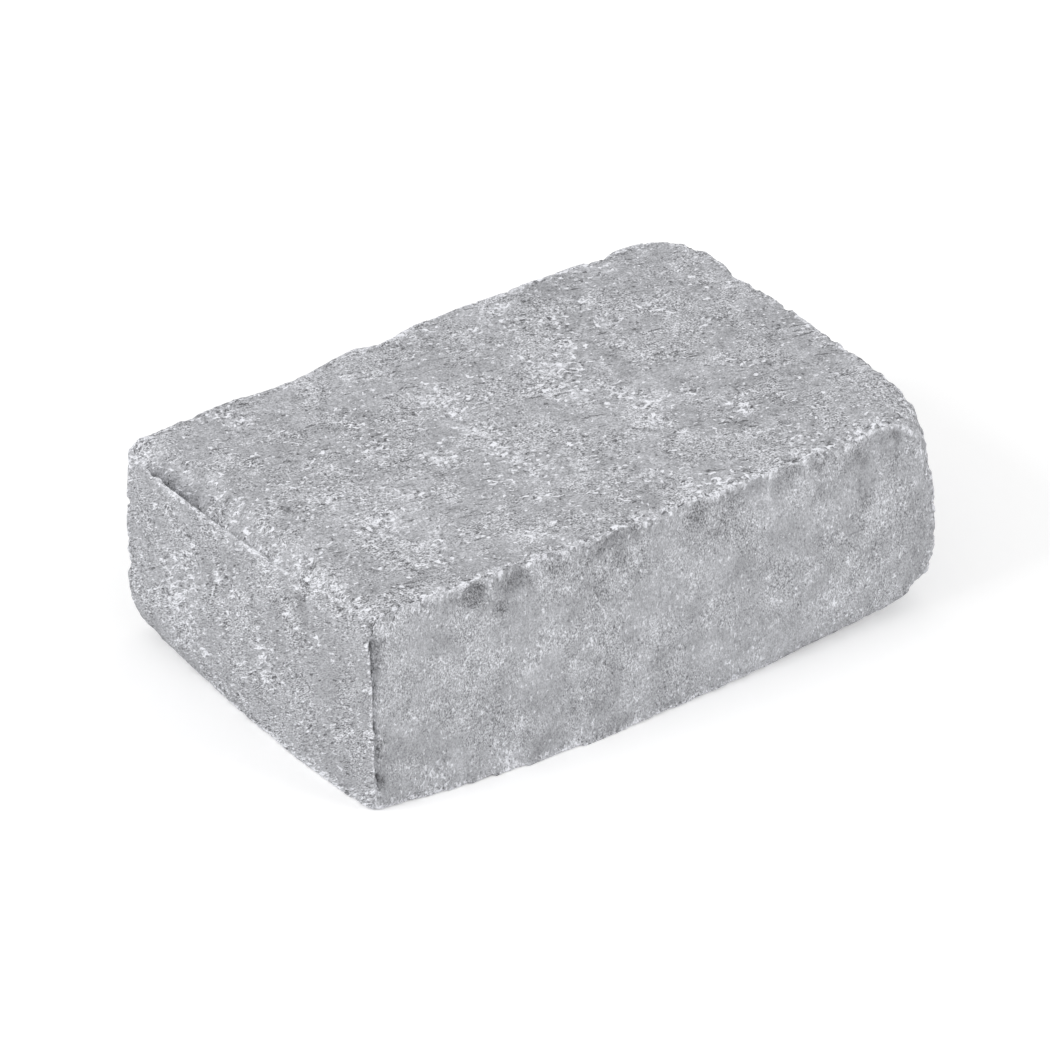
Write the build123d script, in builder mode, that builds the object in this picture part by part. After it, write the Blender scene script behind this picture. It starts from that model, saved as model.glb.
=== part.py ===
from build123d import *
from collections import namedtuple
from math import cos, radians, sin, sqrt
import os

# Tumbled concrete paving stone, in millimetres.
# One solid block of pressed concrete with all its edges worn. It lies on its base.
# X runs along the length and Y across the width. The origin is the middle of the base.

# Overall size, over the widest points of the sides
length = 240.0
width = 157.0
height = 80.0

# How far the middle of each side stands out beyond its ends, and how much more it does
# at the base and at the top
bow = {"left": 1.1, "front": 1.3, "right": 0.4, "back": 2.2}
base_bow = {"left": 2.5, "front": 5.1, "right": 2.0, "back": 3.0}
top_bow = {"left": 0.0, "front": 0.0, "right": 0.0, "back": 1.2}

# How far the front side leans in from the base to the top, at its two ends
front_lean = {"left": 3.5, "right": 1.2}

# Each corner's inset across the width and its radius, half way up. Then its wear at the top
# and at the base: how far it takes the two sides in, how far it reaches down or up those
# sides, and what it adds to the radius.
Wear = namedtuple("Wear", "x_in y_in reach radius")
Corner = namedtuple("Corner", "x_side y_side waist_in waist_radius top base")
corners = [
    Corner("left", "back", 0.0, 3.0, top=Wear(2.0, 7.0, 8.0, 4.0), base=Wear(10.0, 4.5, 18.0, 23.0)),
    Corner("left", "front", 4.4, 1.0, top=Wear(2.0, 2.4, 4.0, 5.0), base=Wear(0.5, 3.7, 16.0, 4.0)),
    Corner("right", "front", 0.0, 2.0, top=Wear(2.9, 4.6, 5.0, 35.0), base=Wear(5.2, 6.5, 11.0, 56.0)),
    Corner("right", "back", 0.0, 6.0, top=Wear(3.8, 2.0, 5.0, 20.0), base=Wear(4.7, 5.0, 14.0, 22.0)),
]
top_corner_reach = 45.0
base_corner_reach = 24.0

# Depths below the top face and heights above the base where the outline is drawn
top_steps = (0.0, 0.4, 1.5, 3.5, 7.0, 14.0, 24.0, 34.0, 45.0)
base_steps = (0.0, 0.4, 1.5, 3.5, 7.0, 14.0, 24.0)

# Chips broken out around the edges. Each is a round hollow with the given width and depth,
# at a place along its side and a distance in from the top face or the base. It opens level
# at a lean of 0 degrees, and straight up or down at 90.
Chip = namedtuple("Chip", "side level along inset width depth lean")
chips = [
    Chip("front", "top", -77.0, 6.0, 13.0, 5.4, 0),
    Chip("front", "top", -62.0, 5.0, 18.0, 4.8, 0),
    Chip("front", "top", -47.0, 4.0, 15.0, 3.4, 10),
    Chip("front", "top", -22.0, 8.0, 34.0, 2.4, -5),
    Chip("front", "top", 14.0, 5.0, 17.0, 2.2, 0),
    Chip("front", "top", 31.0, 8.0, 26.0, 2.2, -5),
    Chip("front", "top", 41.0, 5.0, 11.0, 2.8, 0),
    Chip("front", "top", 54.0, 6.0, 18.0, 2.6, 0),
    Chip("front", "top", 96.0, 8.0, 40.0, 3.8, -5),
    Chip("right", "top", 38.0, 0.0, 18.0, 4.0, 40),
    Chip("back", "top", 84.0, 0.0, 26.0, 4.0, 40),
    Chip("back", "top", -8.0, 0.0, 32.0, 4.8, 15),
    Chip("back", "top", -50.0, 0.0, 70.0, 4.8, 50),
    Chip("right", "base", 22.0, 0.0, 34.0, 6.0, 30),
    Chip("back", "base", -52.0, 0.0, 40.0, 6.0, 30),
    Chip("back", "base", 40.0, 0.0, 26.0, 4.6, 35),
]

# The skin of the left end stands proud of the worn edges around it, as a thin lip
lip = 1.8

# Recess in the front side beside that lip: its height above the base, width and depth
recess_sections = [(8.0, 7.0, 2.0), (32.0, 5.0, 1.8), (58.0, 7.0, 2.4), (77.0, 12.0, 3.6)]

# How far in from the overall width the front side starts at that corner
left_front = corners[1]
front_start = bow["front"] + left_front.waist_in

# Crevice behind that lip: its place across the end, how far the lip's top edge lies below
# the top face, and the crevice's gape and depth there
crevice_sections = [
    (76.0, 3.0, 0.4, 0.5),
    (66.0, 5.2, 1.2, 2.5),
    (56.0, 6.2, 2.8, 5.0),
    (33.0, 7.2, 3.2, 6.0),
    (21.0, 7.0, 1.6, 4.0),
    (-10.0, 6.4, 1.2, 2.5),
    (-28.0, 5.2, 0.8, 1.5),
    (-45.0, 3.4, 0.6, 1.0),
    (-60.0, 1.2, 0.4, 0.5),
    (-70.0, 0.1, 0.2, 0.1),
]

# Shoulder that rises from the crevice to the top face: its width, and a point on it given
# as its share of that width and of the rise
shoulder_width = 6.0
shoulder_point = (0.3, 0.6)

# How far the cutting shapes reach out past the surface
clear = 1.0

sign = {"left": -1, "right": 1, "front": -1, "back": 1}
order = ["left", "front", "right", "back"]


def share(reach, depth):
    """How much of the wear is left at this depth: all at the face, none past its reach."""
    if depth >= reach:
        return 0.0
    return 1 - sqrt(1 - (1 - depth / reach) ** 2)


def lean_at(along, z):
    """How far the front side leans in, at this place along it and height."""
    right_share = along / length + 0.5
    return (front_lean["left"] * (1 - right_share) + front_lean["right"] * right_share) * z / height


def corner_at(corner, z):
    """Where the two sides would meet at this corner at height z, and the radius there."""
    top, base = corner.top, corner.base
    top_share, base_share = share(top.reach, height - z), share(base.reach, z)
    x_in = bow[corner.x_side] + top.x_in * top_share + base.x_in * base_share
    y_in = bow[corner.y_side] + corner.waist_in + top.y_in * top_share + base.y_in * base_share
    if corner.y_side == "front":
        y_in += lean_at(sign[corner.x_side] * length / 2, z)
    radius = (
        corner.waist_radius
        + top.radius * share(top_corner_reach, height - z)
        + base.radius * share(base_corner_reach, z)
    )
    place = Vector(sign[corner.x_side] * (length / 2 - x_in), sign[corner.y_side] * (width / 2 - y_in))
    return place, radius


def outward(side):
    """The level direction out of a side."""
    return Vector(sign[side], 0) if side in ("left", "right") else Vector(0, sign[side])


def outline(z):
    """The closed outline at height z: four bowed sides joined by four round corners."""
    places = [corner_at(corner, z) for corner in corners]
    sides = []
    for n, side in enumerate(order):
        (start, start_radius), (end, end_radius) = places[n], places[(n + 1) % 4]
        one, other = corners[n], corners[(n + 1) % 4]
        along = (end - start).normalized()
        base_share = share((one.base.reach + other.base.reach) / 2, z)
        top_share = share((one.top.reach + other.top.reach) / 2, height - z)
        stand_out = bow[side] + base_bow[side] * base_share + top_bow[side] * top_share
        if side in ("front", "back"):
            stand_out += (one.waist_in + other.waist_in) / 2
        first, last = start + along * start_radius, end - along * end_radius
        sides.append((first, (first + last) * 0.5 + outward(side) * stand_out, last))
    with BuildLine() as edge:
        for n, side in enumerate(sides):
            ThreePointArc(*side)
            start, end = side[-1], sides[(n + 1) % 4][0]
            corner = places[(n + 1) % 4][0]
            ThreePointArc(start, corner + ((start + end) * 0.5 - corner) * (2 - sqrt(2)), end)
    return edge.line


def chip_ball(chip):
    """The middle and radius of the ball whose surface is this chip's hollow."""
    radius = (chip.width**2 / 4 + chip.depth**2) / (2 * chip.depth)
    out = outward(chip.side)
    up = Vector(0, 0, 1 if chip.level == "top" else -1)
    half = length / 2 if chip.side in ("left", "right") else width / 2
    if chip.side == "front" and chip.level == "top":
        half -= lean_at(chip.along, height)
    along = Vector(0, 1) if chip.side in ("left", "right") else Vector(1, 0)
    edge = out * half + along * chip.along + Vector(0, 0, height if chip.level == "top" else 0)
    opening = out * cos(radians(chip.lean)) + up * sin(radians(chip.lean))
    return edge - up * chip.inset + opening * (radius - chip.depth), radius


with BuildPart() as paving_stone:
    # Block with its bowed sides and rounded wear
    for z in sorted({*base_steps, *(height - step for step in top_steps)}):
        with BuildSketch(Plane.XY.offset(z)):
            make_face(outline(z).edges())
    loft(ruled=True)

    # Chips out of the edges
    for chip in chips:
        middle, radius = chip_ball(chip)
        with Locations(middle):
            Sphere(radius, mode=Mode.SUBTRACT)

    # Recess beside the left end's lip
    for z, recess_width, depth in recess_sections:
        with BuildSketch(Plane.XY.offset(z)):
            with BuildLine():
                Polyline(
                    (-length / 2 + lip, -width / 2 - clear),
                    (-length / 2 + lip, -width / 2 + front_start + lean_at(-length / 2, z) + depth),
                    (-length / 2 + lip + recess_width, -width / 2 - clear),
                    close=True,
                )
            make_face()
    loft(ruled=True, mode=Mode.SUBTRACT)

    # Crevice behind the lip, and the shoulder above it
    for y, below_top, gape, depth in crevice_sections:
        lip_top = height - below_top
        foot = -length / 2 + lip + gape
        with BuildSketch(Plane.XZ.offset(-y)):
            with BuildLine():
                Polyline(
                    (-length / 2 - clear, height + clear),
                    (-length / 2 - clear, lip_top),
                    (-length / 2 + lip, lip_top),
                    (-length / 2 + lip, lip_top - depth),
                    (foot, lip_top),
                    (foot + shoulder_width * shoulder_point[0], lip_top + below_top * shoulder_point[1]),
                    (foot + shoulder_width, height),
                    (foot + shoulder_width, height + clear),
                    close=True,
                )
            make_face()
    loft(ruled=True, mode=Mode.SUBTRACT)

paving_stone.part.label = "paving_stone"
os.makedirs("parts", exist_ok=True)
export_step(paving_stone.part, "parts/paving_stone.step")
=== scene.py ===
import bpy
import math
from collections import namedtuple
from types import SimpleNamespace
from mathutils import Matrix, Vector, noise
from mathutils.bvhtree import BVHTree

import numpy as np


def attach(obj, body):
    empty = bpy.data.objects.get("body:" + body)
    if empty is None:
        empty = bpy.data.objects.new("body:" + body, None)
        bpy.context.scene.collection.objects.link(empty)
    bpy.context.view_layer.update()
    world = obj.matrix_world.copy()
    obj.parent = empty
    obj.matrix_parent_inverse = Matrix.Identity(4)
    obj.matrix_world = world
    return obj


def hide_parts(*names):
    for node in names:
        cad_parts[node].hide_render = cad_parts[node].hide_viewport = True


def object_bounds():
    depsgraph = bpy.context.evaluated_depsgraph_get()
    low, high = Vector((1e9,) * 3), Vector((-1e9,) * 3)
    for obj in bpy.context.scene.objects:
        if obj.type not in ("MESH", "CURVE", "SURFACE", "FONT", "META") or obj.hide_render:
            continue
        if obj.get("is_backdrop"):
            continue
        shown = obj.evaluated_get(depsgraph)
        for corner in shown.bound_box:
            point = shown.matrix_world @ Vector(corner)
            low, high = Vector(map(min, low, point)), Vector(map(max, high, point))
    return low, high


# A tumbled concrete paving stone on a plain pale floor. All lengths are in metres.

MM = 0.001
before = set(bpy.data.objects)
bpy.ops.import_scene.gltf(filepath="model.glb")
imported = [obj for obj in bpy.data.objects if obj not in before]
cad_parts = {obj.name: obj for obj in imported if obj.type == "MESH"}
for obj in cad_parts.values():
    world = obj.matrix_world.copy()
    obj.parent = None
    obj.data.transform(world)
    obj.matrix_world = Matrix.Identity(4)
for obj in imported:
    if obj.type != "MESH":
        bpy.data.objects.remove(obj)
cad_low, cad_high = (np.array(corner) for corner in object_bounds())
middle = (cad_low + cad_high) / 2

# Camera: where it looks from, and where the photograph has the middle of the block
IMAGE_SIZE = 1050
AZIMUTH = math.radians(-36.47)
ELEVATION = math.radians(31.84)
DISTANCE = 7.5
PIXELS_PER_METRE = 2900.0
BLOCK_PIXEL = (529.9, 518.9)
SENSOR = 36.0
CLIP = (0.05, 60.0)

# Soft boxes, each with its direction from the block and its power, in even pale surroundings
SOFTBOXES = {"left_box": ((-1.0, 0.15, 0.75), 18), "front_box": ((0.5, -1.0, 0.7), 13)}
SOFTBOX_DISTANCE = 2.2
SOFTBOX_SIZE = 0.9
WORLD_STRENGTH = 0.73

# Floor, and how much brighter than lit the camera sees it, so that it shows white
FLOOR_REACH = 14.0
FLOOR_GAP = 0.05 * MM
FLOOR_GREY = 0.9
FLOOR_GLOW = 0.2

# Net of small faces that the surface is modelled on. The flat base keeps a small share of its faces.
VOXEL = 1.15 * MM
BASE_SKIN = 0.6 * MM
BASE_FACING = -0.9
BASE_FACES_KEPT = 0.05

# How far apart two facing walls may stand and still shade each other
WALL_REACH = 8 * MM
RAY_START = 0.1 * MM
RAYS = 12
GOLDEN_ANGLE = math.pi * (3 - math.sqrt(5))

# How far the form stands off its smoothed self, in millimetres, where an edge or a hollow
# starts and where it is full. The form is smoothed widely or just nearby.
WIDE_ROUNDS = 50
NEAR_ROUNDS = 10
EDGE_BEND = (0.15, 1.1)
SHARP_BEND = (0.12, 0.4)
# Hollows get painted shade, from the first bend on to full at the second
HOLLOW_BEND = (0.1, 0.8)

# How directly a face looks along an axis where it starts to be a side or the top, and where it is one
SIDE_FACING = (0.6, 0.85)
TOP_FACING = (0.7, 0.9)

# Relief: the size of its lumps, its depth, its octaves of noise, and its shift from the seed
Relief = namedtuple("Relief", "size depth octaves shift")
BROAD = Relief(70 * MM, 0.9 * MM, 2, 0.1)
LUMPS = Relief(14 * MM, 0.8 * MM, 3, 0.2)
GRAINS = Relief(4.2 * MM, 0.6 * MM, 2, 0.3)
CRUMBLE = Relief(6.0 * MM, 2.2 * MM, 3, 0.4)
PALE_RELIEF = Relief(3.6 * MM, 1.1 * MM, 2, 0.7)
LIP_RAGGED = Relief(5 * MM, 1.8 * MM, 2, 0.6)
SEED = Vector((3.1, 7.7, 5.3))

# Small open pits: their spacing, their depth, and how near a pit's middle they open and are full,
# as shares of the spacing
PITS_SPACING = 19 * MM
PITS_DEPTH = 0.9 * MM
PITS_SHIFT = 0.5
PITS_OPEN = (0.16, 0.06)

# The one round pit on the top face
PIT_PLACE = (63.5 * MM, -39 * MM)
PIT_RADIUS = 3.4 * MM
PIT_FLOOR = 0.4
PIT_DEPTH = 1.3 * MM

# How much of a thin place's thickness the relief may take from one side
THIN_SHARE = 0.12
THIN_REACH = 0.9 * WALL_REACH

# The flat base keeps its plane: the share of relief at it, and the heights between which that grows
BASE_RELIEF = 0.25
BASE_BAND = (0.2 * MM, 2.0 * MM)

# The crevice behind the end's lip is finer than the net, so it is pressed into it again, deeper
# in its middle: its place across the end, how far the lip's top lies below the top face, its gape
# and its depth. The hollows' shading is eased on the worn shoulder beside it.
LIP = 1.8 * MM
CREVICE = np.array([
    (-30, 5.2, 1.0, 0.0),
    (-10, 6.4, 1.0, 1.8),
    (10, 6.9, 1.0, 2.2),
    (28, 7.1, 1.0, 2.5),
    (35, 7.1, 3.6, 9.0),
    (55, 6.2, 3.2, 9.0),
    (61, 5.7, 1.2, 2.0),
    (68, 5.0, 1.0, 0.0),
]) * MM
SHOULDER_REACH = (12 * MM, 9 * MM)

# The recess beside the lip on the long side, in the same way: its height, width and added depth
GROOVE = np.array([
    (8, 2.4, 1.5),
    (14, 3.0, 2.0),
    (20, 1.6, 2.5),
    (45, 1.6, 3.0),
    (54, 2.8, 3.0),
    (63, 6.5, 3.5),
    (68, 8.0, 3.5),
    (71, 5.0, 0.0),
]) * MM
THIN_LIP = (-59 * MM, -62 * MM)

# Marks are round patches given by their middle and radius in millimetres
Mark = namedtuple("Mark", "x y z radius")

# The crumbled near top corner: its mark, its depth, and the plane that fills the recess there
CORNER = Mark(-120, -71, 81, 8)
CORNER_DEPTH = 3.5 * MM
CORNER_FRONT = -68.5 * MM
CORNER_FILL = 6 * MM
CORNER_REACH = 14 * MM
CORNER_BELOW_TOP = (13 * MM, 9 * MM)

# Pale crumbly marks that the photograph shows
PALE_ON_TOP = [
    (-16, 31, 80, 6), (-17, 21, 80, 5), (-17, 7, 80, 6), (-18, -7, 80, 7), (-17, -16, 80, 6),
    (-15, -25, 80, 7), (-2, 22, 80, 4), (37, -3, 80, 6), (40, -14, 80, 7), (35, -24, 80, 6),
    (66, -35, 80, 5), (58, -51, 80, 3), (31, 22, 80, 10), (21, 11, 80, 7), (41, 35, 80, 8),
    (47, 52, 80, 5), (61, 54, 80, 5), (60, 40, 80, 5), (36, 68, 80, 5), (34, 56, 80, 5),
    (67, -62, 80, 4), (14, -53, 80, 5), (19, -64, 80, 4), (-80, -22, 80, 9), (-84, 1, 80, 6),
    (-76, -45, 80, 5), (-77, -54, 80, 4), (-80, 60, 80, 5), (-50, 20, 80, 6), (-40, -2, 80, 5),
]
PALE_BESIDE_LIP = [
    (-119, 20, 69, 4), (-119, 12, 69, 4), (-119, 4, 70, 4), (-119, -4, 70, 4), (-119, -12, 71, 5),
    (-118, 64, 76, 3), (-114, 55, 76, 3), (-114, 44, 77, 3), (-113, 29, 77, 4), (-115, 16, 76, 4),
    (-116, 6, 75, 3), (-117, -24, 76, 6), (-117, -34, 78, 6), (-118, -45, 78, 5), (-119, -56, 77, 5),
    (-118, -64, 76, 5), (-118, -69, 77, 6),
]
PALE_ON_LONG_EDGE = [
    (-113, -70, 74, 5), (-107, -70, 77, 5), (-98, -71, 77, 5), (-90, -71, 78, 5), (-83, -71, 79, 4),
    (-64, -71, 77, 4), (-47, -73, 78, 5), (-37, -73, 79, 4), (-5, -71, 80, 4), (20, -70, 80, 4),
    (30, -71, 80, 4), (63, -71, 80, 4), (89, -70, 80, 5), (99, -71, 79, 4),
]
PALE_ON_SIDES = [
    (-119, 40, 40, 12), (-119, 46, 26, 12), (-119, 10, 52, 8), (-119, -10, 30, 9), (-93, -74, 8, 6),
    (-66, -76, 6, 6), (-53, -75, 40, 4), (-31, -76, 40, 3), (44, -78, 39, 3), (103, -77, 44, 3),
]
PALE_MARKS = [Mark(*mark) for mark in PALE_ON_TOP + PALE_BESIDE_LIP + PALE_ON_LONG_EDGE + PALE_ON_SIDES]

# Darker marks, mostly under the long edge: painted shade in the chipped hollows there and in the recess
# beside the lip, and some other darker patches
SHADE_UNDER_LONG_EDGE = [
    (-56, -72, 74, 6), (-84, -72, 74, 4), (-72, -72, 76, 5), (-66, -74, 65, 3), (-112, -70, 74, 3),
    (-25, -74, 71, 8), (-23, -74, 59, 4), (-43, -74, 74, 5), (-9, -76, 77, 5), (17, -75, 72, 7),
    (32, -74, 73, 7), (39, -74, 79, 3), (56, -75, 77, 5), (24, -75, 61, 4), (69, -76, 77, 4),
    (88, -74, 71, 8), (100, -73, 71, 7), (88, -76, 52, 5),
]
SHADE_AT_RECESS = [
    (-115, -69, 71, 3), (-115, -69, 66, 3), (-116, -69, 61, 2.5), (-117, -70, 56, 2),
    (-117, -71, 26, 3), (-116, -72, 13, 4),
]
DARK_ELSEWHERE = [
    (-119, 4, 60, 4), (-119, -30, 66, 5), (-101, 4, 80, 4), (-97, -13, 80, 3), (-54, -30, 80, 3),
    (61, 7, 80, 4), (60, -44, 80, 4), (-46, 18, 80, 3), (-12, -18, 80, 3),
]
SHADE_AND_DARK_MARKS = [Mark(*mark) for mark in SHADE_UNDER_LONG_EDGE + SHADE_AT_RECESS + DARK_ELSEWHERE]

# Concrete's grain: the size of each kind of speck and patch in it
FINE = 0.54 * MM
SAND = 1.2 * MM
GRIT = 3.2 * MM
FLAKES = 1.75 * MM
SPECKS = 1.7 * MM
SCRATCHES = 2.0 * MM
SHADE_BREAKS = 5 * MM
BLOTCHES = 9 * MM
OPEN_PATCHES = 11 * MM
BUSY_PATCHES = 17 * MM
CLOUDS = 34 * MM

# How the grain is turned and squeezed: on the top, on the ends, on the long sides, and for scratches
TOP_SLANT = math.radians(16)
END_SLANT = math.radians(33)
TOP_GRAIN = (0.8, 1.0, 1.0)
END_GRAIN = (1.0, 0.42, 1.3)
SIDE_GRAIN = (1.2, 1.2, 0.75)
SCRATCH_GRAIN = (0.3, 1.8, 1.0)

# Concrete's greys from its darkest level to its palest, each as (level, grey), and their cool tint
GREYS = [(0.0, 0.14), (0.3, 0.33), (0.5, 0.45), (0.7, 0.60), (1.0, 0.88)]
TINT = (0.985, 0.995, 1.045)
MIDDLE_LEVEL = 0.475

BUMP_STRENGTH = 0.8
BUMP_DEPTH = 0.7 * MM
SPECULAR = 0.25


def camera():
    """The photograph's view: far off with a long lens, so that upright edges stay upright."""
    data = bpy.data.cameras.new("camera")
    data.sensor_width = SENSOR
    data.lens = PIXELS_PER_METRE * DISTANCE / IMAGE_SIZE * SENSOR
    data.shift_x = (IMAGE_SIZE / 2 - BLOCK_PIXEL[0]) / IMAGE_SIZE
    data.shift_y = (BLOCK_PIXEL[1] - IMAGE_SIZE / 2) / IMAGE_SIZE
    data.clip_start, data.clip_end = CLIP
    eye = bpy.data.objects.new("camera", data)
    bpy.context.scene.collection.objects.link(eye)
    back = Vector((
        math.sin(AZIMUTH) * math.cos(ELEVATION),
        -math.cos(AZIMUTH) * math.cos(ELEVATION),
        math.sin(ELEVATION),
    ))
    eye.location = Vector(middle) + back * DISTANCE
    eye.rotation_euler = back.to_track_quat("Z", "Y").to_euler()
    bpy.context.scene.camera = eye


# Mesh of the stone

def evaluated(mesh, name, kind, weights=(), **settings):
    """The mesh after one modifier, which may be held to the points with weights."""
    holder = bpy.data.objects.new(name, mesh)
    bpy.context.scene.collection.objects.link(holder)
    if len(weights):
        group = holder.vertex_groups.new(name="weights")
        group.add([int(index) for index in weights], 1.0, "REPLACE")
        settings["vertex_group"] = group.name
    modifier = holder.modifiers.new(name, kind)
    for key, value in settings.items():
        setattr(modifier, key, value)
    graph = bpy.context.evaluated_depsgraph_get()
    result = bpy.data.meshes.new_from_object(holder.evaluated_get(graph))
    bpy.data.objects.remove(holder)
    return result


def vectors_of(mesh, name):
    """The places ("co") or outward directions ("normal") of the mesh's points, one row each."""
    values = np.empty(len(mesh.vertices) * 3)
    mesh.vertices.foreach_get(name, values)
    return values.reshape(-1, 3)


def smoothed(mesh, values, rounds):
    """Values averaged with their neighbours, again and again."""
    edges = np.empty(len(mesh.edges) * 2, dtype=np.int64)
    mesh.edges.foreach_get("vertices", edges)
    first, second = edges.reshape(-1, 2).T
    count = np.bincount(edges, minlength=len(mesh.vertices)).clip(1)
    values = values.reshape(len(mesh.vertices), -1)
    for _ in range(rounds):
        total = np.stack([
            np.bincount(first, column[second], len(column)) + np.bincount(second, column[first], len(column))
            for column in values.T
        ], 1)
        values = 0.5 * values + 0.5 * total / count[:, None]
    return values


def rough(points, relief):
    """Fractal noise of about -1 to 1 at each point."""
    shift = SEED * (1 + relief.shift)
    return np.array([
        noise.fractal(Vector(point) / relief.size + shift, 0.9, 2.0, relief.octaves, noise_basis="PERLIN_NEW")
        for point in points
    ])


def cells(points, size, shift):
    """Distance to the nearest of scattered spots, in units of their spacing."""
    start = SEED * (1 + shift)
    return np.array([noise.voronoi(Vector(point) / size + start)[0][0] for point in points])


def ramp(values, none, full):
    """0 up to none, 1 from full on, and smooth between. It may run upwards or downwards."""
    t = np.clip((values - none) / (full - none), 0, 1)
    return t * t * (3 - 2 * t)


def near_marks(points, marks):
    """1 at a mark's middle, falling to 0 outside its radius."""
    share = np.zeros(len(points))
    for mark in marks:
        apart = np.linalg.norm(points / MM - (mark.x, mark.y, mark.z), axis=1) / mark.radius
        share = np.maximum(share, np.exp(-apart**2))
    return share


def tree_of(mesh, points):
    """The net in a form that rays can be sent through."""
    return BVHTree.FromPolygons(points.tolist(), [tuple(face.vertices) for face in mesh.polygons])


def wall_distances(tree, points, directions):
    """How far the next wall is from each point in its direction, up to WALL_REACH."""
    distances = np.full(len(points), WALL_REACH)
    for index, (point, direction) in enumerate(zip(points, directions)):
        direction = Vector(direction)
        hit = tree.ray_cast(Vector(point) + direction * RAY_START, direction, WALL_REACH)
        if hit[3] is not None:
            distances[index] = hit[3]
    return distances


def closed_in(tree, points, normals):
    """The share of each point's near surroundings that other parts of the stone take up."""
    across = np.cross(normals, (0.31, 0.53, 0.79))
    across /= np.linalg.norm(across, axis=1, keepdims=True)
    onward = np.cross(normals, across)
    share = np.zeros(len(points))
    for ray in range(RAYS):
        turn = ray * GOLDEN_ANGLE
        tilt = math.asin(math.sqrt((ray + 0.5) / RAYS))
        level = across * math.cos(turn) + onward * math.sin(turn)
        directions = level * math.sin(tilt) + normals * math.cos(tilt)
        share += 1 - wall_distances(tree, points, directions) / WALL_REACH
    return share / RAYS


def form_of(mesh, points, normals):
    """Where the form bends, how thick it is and which sides it belongs to, at each point."""
    off_wide = ((points - smoothed(mesh, points, WIDE_ROUNDS)) * normals).sum(1) / MM
    off_near = ((points - smoothed(mesh, points, NEAR_ROUNDS)) * normals).sum(1) / MM
    facing = smoothed(mesh, normals, NEAR_ROUNDS)
    facing /= np.linalg.norm(facing, axis=1, keepdims=True)
    from_end, below_top = points[:, 0] - cad_low[0], cad_high[2] - points[:, 2]
    shoulder = ramp(from_end, *SHOULDER_REACH) * ramp(below_top, *SHOULDER_REACH)
    thickness = wall_distances(tree_of(mesh, points), points, -normals)
    return SimpleNamespace(
        edge=ramp(smoothed(mesh, off_wide, 8)[:, 0], *EDGE_BEND),
        sharp=ramp(smoothed(mesh, off_near, 1)[:, 0], *SHARP_BEND),
        # hollow: concave places, darkened in the material as painted shade
        hollow=ramp(-smoothed(mesh, off_wide, 2)[:, 0], *HOLLOW_BEND) * (1 - 0.8 * shoulder),
        thickness=smoothed(mesh, thickness, 2)[:, 0],
        top_side=ramp(facing[:, 2], *TOP_FACING),
        end_side=ramp(np.abs(facing[:, 0]), *SIDE_FACING),
        long_side=ramp(np.abs(facing[:, 1]), *SIDE_FACING),
        on_base=(points[:, 2] < cad_low[2] + BASE_SKIN) & (facing[:, 2] < BASE_FACING),
    )


def relief_depth(points, form, crumble, pale):
    """How deep the relief goes at each point. It is less on the long sides, which are calmer."""
    depth = BROAD.depth * (0.5 - 0.5 * rough(points, BROAD)) * (1 - 0.5 * form.edge)
    depth += LUMPS.depth * (0.5 - 0.5 * rough(points, LUMPS)) * (1 - 0.5 * form.long_side)
    depth += GRAINS.depth * (0.5 - 0.5 * rough(points, GRAINS)) * (1 - 0.6 * form.long_side)
    depth += CRUMBLE.depth * form.edge * ramp(crumble, 0.2, -0.9)
    depth += PALE_RELIEF.depth * pale * ramp(rough(points, PALE_RELIEF), 0.4, -0.5)
    pits = cells(points, PITS_SPACING, PITS_SHIFT)
    depth += PITS_DEPTH * ramp(pits, *PITS_OPEN) * (1 - 0.6 * form.long_side)
    away = np.hypot(points[:, 0] - PIT_PLACE[0], points[:, 1] - PIT_PLACE[1])
    return depth + form.top_side * PIT_DEPTH * ramp(away, PIT_RADIUS, PIT_FLOOR * PIT_RADIUS)


def crevice(points):
    """How far below the top face the crevice and its lip lie, 0 elsewhere, and what is near them."""
    drop, gape, deepest = (np.interp(points[:, 1], CREVICE[:, 0], column) for column in CREVICE[:, 1:].T)
    uneven = rough(points * (0, 1, 0), LIP_RAGGED)
    past_lip = points[:, 0] - cad_low[0] - LIP
    across = past_lip / (gape * (1 + 0.5 * uneven))
    above_lip = points[:, 2] - (cad_high[2] - drop)
    there = deepest > 0
    inside = (across > 0) & (across < 1) & (above_lip > -deepest) & there
    sunk = np.where(inside, drop + deepest * (1 - 0.7 * across), 0)
    ragged = drop + LIP_RAGGED.depth * ramp(uneven, -0.3, 0.7)
    sunk = np.where((across <= 0) & there, ragged, sunk)
    near = ramp(np.abs(past_lip), 3.0 * MM, 1.5 * MM) * ramp(above_lip, -deepest - 3 * MM, -deepest)
    return sunk, near * there


def groove(points):
    """How much further in the recess beside the lip goes at each point, and where the lip is thin."""
    width, deepest = (np.interp(points[:, 2], GROOVE[:, 0], column) for column in GROOVE[:, 1:].T)
    across = (points[:, 0] - cad_low[0] - LIP) / width
    inside = (across > 0) & (across < 1) & (points[:, 1] < 0)
    thin = ramp(points[:, 1], *THIN_LIP) * ramp(across, 0.3, -0.1) * (deepest > 0)
    return np.where(inside, deepest * (1 - across), 0), thin


def crumbled_corner(points, moved, crumble):
    """The near top corner, with the recess filled and the corner itself worn down."""
    from_end, below_top = points[:, 0] - cad_low[0], cad_high[2] - points[:, 2]
    at_corner = ramp(below_top, *CORNER_BELOW_TOP) * (from_end < CORNER_REACH)
    at_corner *= points[:, 1] < CORNER_FRONT + CORNER_FILL
    filled = np.minimum(moved[:, 1], CORNER_FRONT - 1.0 * MM * crumble)
    worn = moved.copy()
    worn[:, 1] += (filled - moved[:, 1]) * at_corner
    worn[:, 2] -= CORNER_DEPTH * near_marks(points, [CORNER]) * (0.6 - 0.4 * crumble)
    return worn


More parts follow.
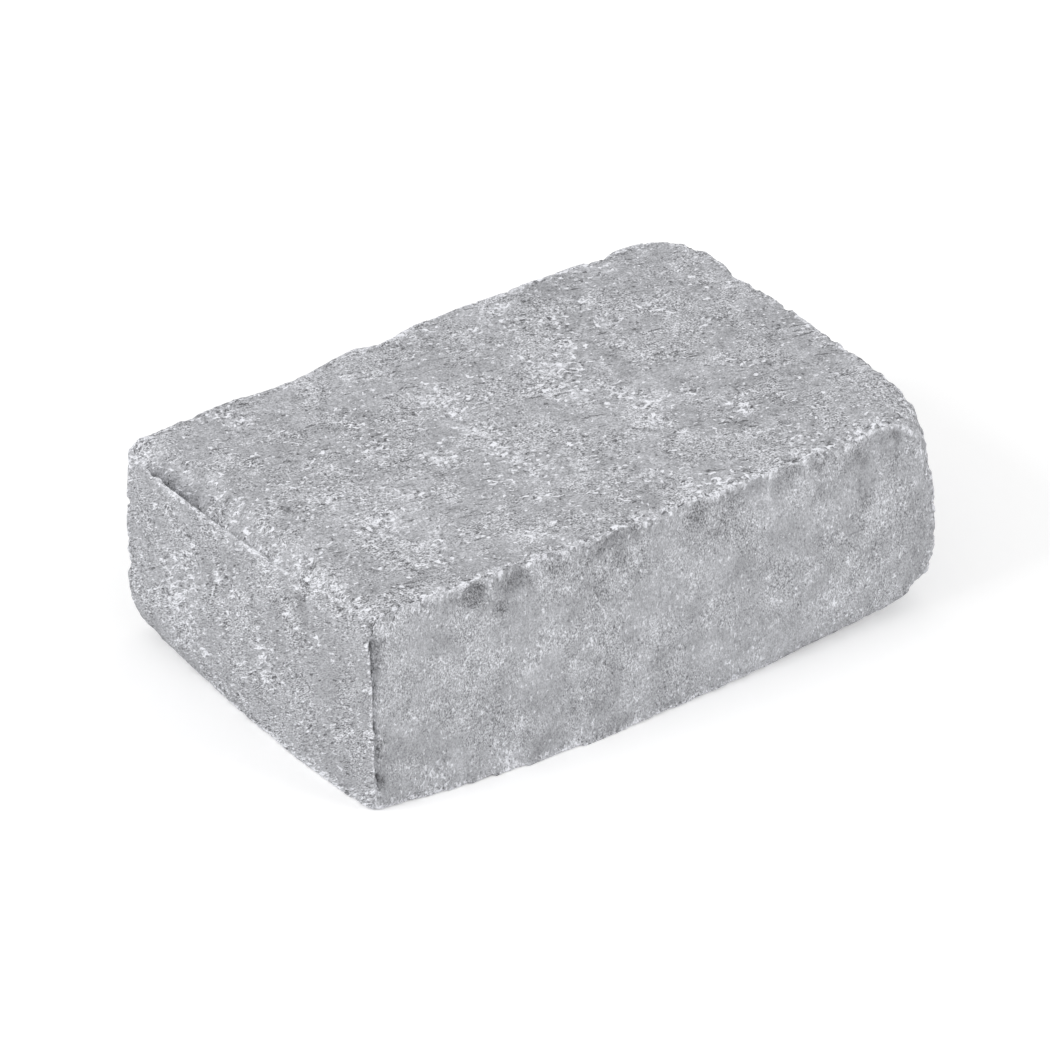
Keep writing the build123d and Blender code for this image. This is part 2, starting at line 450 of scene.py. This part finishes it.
def stone_mesh(solid):
    """The CAD solid with its relief, and what the material needs to know at each point."""
    mesh = evaluated(solid.data.copy(), "net", "REMESH", mode="VOXEL", voxel_size=VOXEL)
    points, normals = vectors_of(mesh, "co"), vectors_of(mesh, "normal")
    form = form_of(mesh, points, normals)
    crumble = rough(points, CRUMBLE)
    pale = near_marks(points, PALE_MARKS)
    depth = relief_depth(points, form, crumble, pale)

    # The lip stays whole beside the crevice and the recess, and thin places keep most of their thickness
    sunk, beside = crevice(points)
    further, thin = groove(points)
    depth *= (1 - 0.7 * beside) * (1 - 0.8 * thin)
    spared = np.minimum(depth, THIN_SHARE * form.thickness)
    depth = np.where(form.thickness < THIN_REACH, spared, depth)

    # The relief goes inwards, so that the block keeps its overall size
    off_base = ramp(points[:, 2] - cad_low[2], *BASE_BAND)
    moved = points - normals * (depth * (BASE_RELIEF + (1 - BASE_RELIEF) * off_base))[:, None]
    moved[:, 2] = np.where(sunk > 0, np.minimum(moved[:, 2], cad_high[2] - sunk), moved[:, 2])
    moved[:, 1] += further * (normals[:, 1] < 0)
    moved = np.clip(crumbled_corner(points, moved, crumble), cad_low, cad_high)
    mesh.vertices.foreach_set("co", moved.ravel())
    mesh.update()

    values_at_points = {
        "edge": form.edge,
        "sharp": form.sharp,
        "hollow": form.hollow,
        # dim: how closed in each place is, darkened in the material as painted shade in narrow gaps
        "dim": closed_in(tree_of(mesh, moved), moved, vectors_of(mesh, "normal")),
        "pale": pale,
        # dark: the darker marks, most of them painted shade under the long edge and in the recess
        "dark": near_marks(points, SHADE_AND_DARK_MARKS),
        "top_side": form.top_side,
        "end_side": form.end_side,
        "long_side": form.long_side,
        # deep: where the relief sinks furthest, darkened in the material as painted shade
        "deep": ramp(depth / MM, 0.6, 2.4),
    }
    for name, values in values_at_points.items():
        layer = mesh.attributes.new(name, "FLOAT", "POINT")
        layer.data.foreach_set("value", values.astype(np.float32))
    on_base = np.flatnonzero(form.on_base)
    ratio = 1 - len(on_base) * (1 - BASE_FACES_KEPT) / len(points)
    mesh = evaluated(mesh, "thinned", "DECIMATE", weights=on_base, ratio=ratio)
    mesh.shade_smooth()
    return mesh


# Materials

class Nodes:
    """Short ways to make and link shader nodes."""

    def __init__(self, material):
        material.use_nodes = True
        self.tree = material.node_tree
        self.tree.nodes.clear()

    def add(self, kind, inputs=None, **settings):
        node = self.tree.nodes.new(kind)
        for key, value in settings.items():
            setattr(node, key, value)
        for key, value in (inputs or {}).items():
            if isinstance(value, bpy.types.NodeSocket):
                self.tree.links.new(value, node.inputs[key])
            else:
                node.inputs[key].default_value = value
        return node

    def math(self, operation, first, second=0.0, third=0.0):
        return self.add("ShaderNodeMath", {0: first, 1: second, 2: third}, operation=operation).outputs[0]

    def chain(self, operation, first, *others):
        """One operation on several values, from the first to the last."""
        for other in others:
            first = self.math(operation, first, other)
        return first

    def weighted(self, start, terms):
        """The start plus each value times its weight."""
        for value, weight in terms:
            start = self.math("MULTIPLY_ADD", value, weight, start)
        return start

    def centred(self, terms):
        """The sum of (value, weight) terms, each value counted from 0.5."""
        return self.weighted(0.0, [(self.math("SUBTRACT", value, 0.5), weight) for value, weight in terms])

    def attribute(self, name):
        return self.add("ShaderNodeAttribute", attribute_name=name).outputs["Fac"]

    def noise(self, place, size, detail=2.0, roughness=0.5, distortion=0.0):
        inputs = {
            "Vector": place,
            "Scale": 1 / size,
            "Detail": detail,
            "Roughness": roughness,
            "Distortion": distortion,
        }
        return self.add("ShaderNodeTexNoise", inputs).outputs["Fac"]

    def spread(self, value, low, high, to_low=0.0, to_high=1.0, kind="SMOOTHSTEP"):
        """The value's range from low to high, brought to another range."""
        inputs = {"Value": value, "From Min": low, "From Max": high, "To Min": to_low, "To Max": to_high}
        return self.add("ShaderNodeMapRange", inputs, interpolation_type=kind).outputs[0]

    def blend(self, share, without, within):
        """One number where the share is 0 and the other where it is 1."""
        return self.spread(share, 0, 1, without, within, kind="LINEAR")

    def choose(self, share, first, second):
        """The first place where the share is up to a half, and the second place past that."""
        node = self.add("ShaderNodeMix", data_type="VECTOR")
        sockets = [socket for socket in node.inputs if socket.enabled]
        for socket, value in zip(sockets, (self.math("GREATER_THAN", share, 0.5), first, second)):
            self.tree.links.new(value, socket)
        return next(socket for socket in node.outputs if socket.enabled)

    def turned(self, place, *angles):
        return self.add("ShaderNodeMapping", {"Vector": place, "Rotation": angles}).outputs[0]

    def squeezed(self, place, scale):
        return self.add("ShaderNodeMapping", {"Vector": place, "Scale": scale}).outputs[0]


def grain_places(n, place, end_side, long_side):
    """Where the grain is looked up, on the whole block and on its top alone.

    It is drawn out along a slant on the top and the ends, and upwards on the long sides.
    """
    on_top = n.squeezed(n.turned(place, 0, 0, TOP_SLANT), TOP_GRAIN)
    right_half = n.math("GREATER_THAN", n.add("ShaderNodeSeparateXYZ", {"Vector": place}).outputs["X"], 0.0)
    at_end = n.choose(right_half, n.turned(place, END_SLANT, 0, 0), n.turned(place, -END_SLANT, 0, 0))
    grain = n.choose(end_side, on_top, n.squeezed(at_end, END_GRAIN))
    return n.choose(long_side, grain, n.squeezed(place, SIDE_GRAIN)), on_top


def concrete():
    """Light cool grey concrete: sandy grain, pale crumbs, dark pits and soft clouds."""
    material = bpy.data.materials.new("concrete")
    n = Nodes(material)
    place = n.add("ShaderNodeTexCoord").outputs["Object"]
    top_side, end_side, long_side = (n.attribute(name) for name in ("top_side", "end_side", "long_side"))
    edge, sharp, hollow, dim = (n.attribute(name) for name in ("edge", "sharp", "hollow", "dim"))
    pale, deep = n.attribute("pale"), n.attribute("deep")

    def by_side(on_end=1.0, on_long=1.0):
        """A weight of 1 on the top, and these on the ends and on the long sides."""
        weight = 1.0
        if on_end != 1.0:
            weight = n.blend(end_side, weight, on_end)
        if on_long != 1.0:
            weight = n.blend(long_side, weight, on_long)
        return weight

    grain, top_grain = grain_places(n, place, end_side, long_side)
    fine = n.noise(grain, FINE, 1.0, 0.6)
    sand = n.noise(grain, SAND, 2.0, 0.6)
    grit = n.noise(grain, GRIT, 2.0, 0.55)
    blotch = n.noise(place, BLOTCHES, 3.0, 0.6)
    cloud = n.noise(place, CLOUDS, 3.0, 0.55)

    # Where the grain is coarse and open, and where it is calm
    wild = n.spread(n.noise(place, OPEN_PATCHES, 3.0, 0.6), 0.49, 0.70, 0.0, 0.85)
    wild = n.chain("MAXIMUM", n.math("MULTIPLY", wild, by_side(on_long=0.55)), pale, edge)
    busy = n.spread(n.noise(place, BUSY_PATCHES, 3.0, 0.65), 0.40, 0.60, 0.6, 1.35)
    calm = n.math("MULTIPLY", by_side(on_long=0.72), by_side(on_end=0.85))

    # The grain's tone, from fine to broad
    fine_tone = n.chain("MULTIPLY", n.centred([(fine, 1.65), (sand, 0.5)]), busy, by_side(on_end=1.1))
    coarse_tone = n.math("MULTIPLY", n.centred([(sand, 1.05), (grit, 1.1)]), n.blend(wild, 0.3, 1.15))
    coarse_tone = n.math("MULTIPLY", coarse_tone, by_side(on_end=0.68, on_long=0.8))
    broad_tone = n.math("MULTIPLY", n.centred([(blotch, 0.45), (cloud, 0.35)]), by_side(on_long=1.7))
    tone = n.math("MULTIPLY", n.chain("ADD", fine_tone, coarse_tone, broad_tone), calm)

    # Pale crumbs
    flakes = n.noise(grain, FLAKES, 1.5, 0.55, 0.3)
    crumbs = n.spread(n.weighted(flakes, [(wild, 0.12)]), 0.64, 0.69)
    crumbs = n.math("MULTIPLY", crumbs, by_side(on_end=0.6, on_long=0.46))

    # Dark pits, and short dark scratches on the top
    specks = n.noise(grain, SPECKS, 1.0, 0.5, 0.2)
    dark = n.spread(n.weighted(specks, [(wild, -0.07)]), 0.30, 0.24)
    dark = n.math("MULTIPLY", dark, n.spread(long_side, 0, 1, 1.0, 0.5))
    scratches = n.spread(n.noise(n.squeezed(top_grain, SCRATCH_GRAIN), SCRATCHES, 0.0), 0.21, 0.16)
    dark = n.math("MAXIMUM", dark, n.math("MULTIPLY", scratches, top_side))

    # Painted shade of the chips and the recess, with other darker patches, broken up, and painted shade in
    # narrow gaps
    shade = n.spread(n.noise(place, SHADE_BREAKS, 2.0, 0.6), 0.38, 0.58, 0.3, 1.3)
    shade = n.math("MULTIPLY", n.attribute("dark"), shade)
    dimness = n.spread(dim, 0.22, 0.62)

    # Besides the grain and crumbs, the level takes painted shade from the shade marks, hollows, narrow gaps
    # and deep relief
    level = n.weighted(n.math("ADD", tone, MIDDLE_LEVEL), [
        (dark, -0.35),
        (crumbs, 0.66),
        (pale, 0.13),
        (sharp, 0.22),
        (shade, -0.17),
        (hollow, -0.15),
        (end_side, -0.03),
        (dimness, -0.5),
        (deep, -0.05),
    ])
    colours = n.add("ShaderNodeValToRGB", {"Fac": level})
    stops = colours.color_ramp.elements
    stops[0].position, stops[-1].position = GREYS[0][0], GREYS[-1][0]
    for position, _ in GREYS[1:-1]:
        stops.new(position)
    for stop, (_, grey) in zip(stops, GREYS):
        stop.color = (*(grey * share for share in TINT), 1)

    height = n.centred([(fine, 0.5), (sand, 1.1), (grit, 1.2)])
    height = n.weighted(height, [(dark, -0.8), (crumbs, 0.5)])
    bump = n.add("ShaderNodeBump", {"Strength": BUMP_STRENGTH, "Distance": BUMP_DEPTH, "Height": height})
    shader = n.add("ShaderNodeBsdfPrincipled", {
        "Base Color": colours.outputs[0],
        "Roughness": n.spread(tone, -0.5, 0.5, 0.95, 0.8, kind="LINEAR"),
        "Normal": bump.outputs[0],
        "Specular IOR Level": SPECULAR,
    })
    n.add("ShaderNodeOutputMaterial", {"Surface": shader.outputs[0]})
    return material


def floor_material():
    """Pale floor that the camera sees as white where no shadow falls."""
    material = bpy.data.materials.new("pale_floor")
    n = Nodes(material)
    shader = n.add("ShaderNodeBsdfDiffuse", {"Color": (FLOOR_GREY, FLOOR_GREY, FLOOR_GREY, 1)})
    rays = n.add("ShaderNodeLightPath").outputs
    seen = n.chain("MAXIMUM", rays["Is Camera Ray"], rays["Is Glossy Ray"], rays["Is Transmission Ray"])
    glow = n.add(
        "ShaderNodeEmission",
        {"Color": (1, 1, 1, 1), "Strength": n.math("MULTIPLY", seen, FLOOR_GLOW)},
    )
    both = n.add("ShaderNodeAddShader", {0: shader.outputs[0], 1: glow.outputs[0]})
    n.add("ShaderNodeOutputMaterial", {"Surface": both.outputs[0]})
    return material


def floor():
    """Plain pale floor under the block."""
    z = cad_low[2] - FLOOR_GAP
    corners = [(x * FLOOR_REACH, y * FLOOR_REACH, z) for x, y in ((-1, -1), (1, -1), (1, 1), (-1, 1))]
    data = bpy.data.meshes.new("floor")
    data.from_pydata(corners, [], [(0, 1, 2, 3)])
    ground = bpy.data.objects.new("floor", data)
    ground.data.materials.append(floor_material())
    bpy.context.scene.collection.objects.link(ground)
    ground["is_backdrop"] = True


def softbox(name, direction, power):
    """A square lamp that looks at the block from a direction."""
    data = bpy.data.lights.new(name, "AREA")
    data.shape = "SQUARE"
    data.size = SOFTBOX_SIZE
    data.energy = power
    lamp = bpy.data.objects.new(name, data)
    bpy.context.scene.collection.objects.link(lamp)
    lamp.location = Vector(middle) + Vector(direction).normalized() * SOFTBOX_DISTANCE
    lamp.rotation_euler = Vector(direction).to_track_quat("Z", "Y").to_euler()


def light():
    """Even pale surroundings with two soft boxes."""
    world = bpy.data.worlds.new("surroundings")
    world.use_nodes = True
    background = world.node_tree.nodes["Background"]
    background.inputs["Strength"].default_value = WORLD_STRENGTH
    background.inputs["Color"].default_value = (1, 1, 1, 1)
    bpy.context.scene.world = world
    for name, (direction, power) in SOFTBOXES.items():
        softbox(name, direction, power)


bpy.context.scene.view_settings.view_transform = "Standard"
camera()
light()
floor()

stone = bpy.data.objects.new("stone_surface", stone_mesh(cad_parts["paving_stone"]))
stone.data.materials.clear()
stone.data.materials.append(concrete())
bpy.context.scene.collection.objects.link(stone)
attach(stone, "root")
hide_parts("paving_stone")
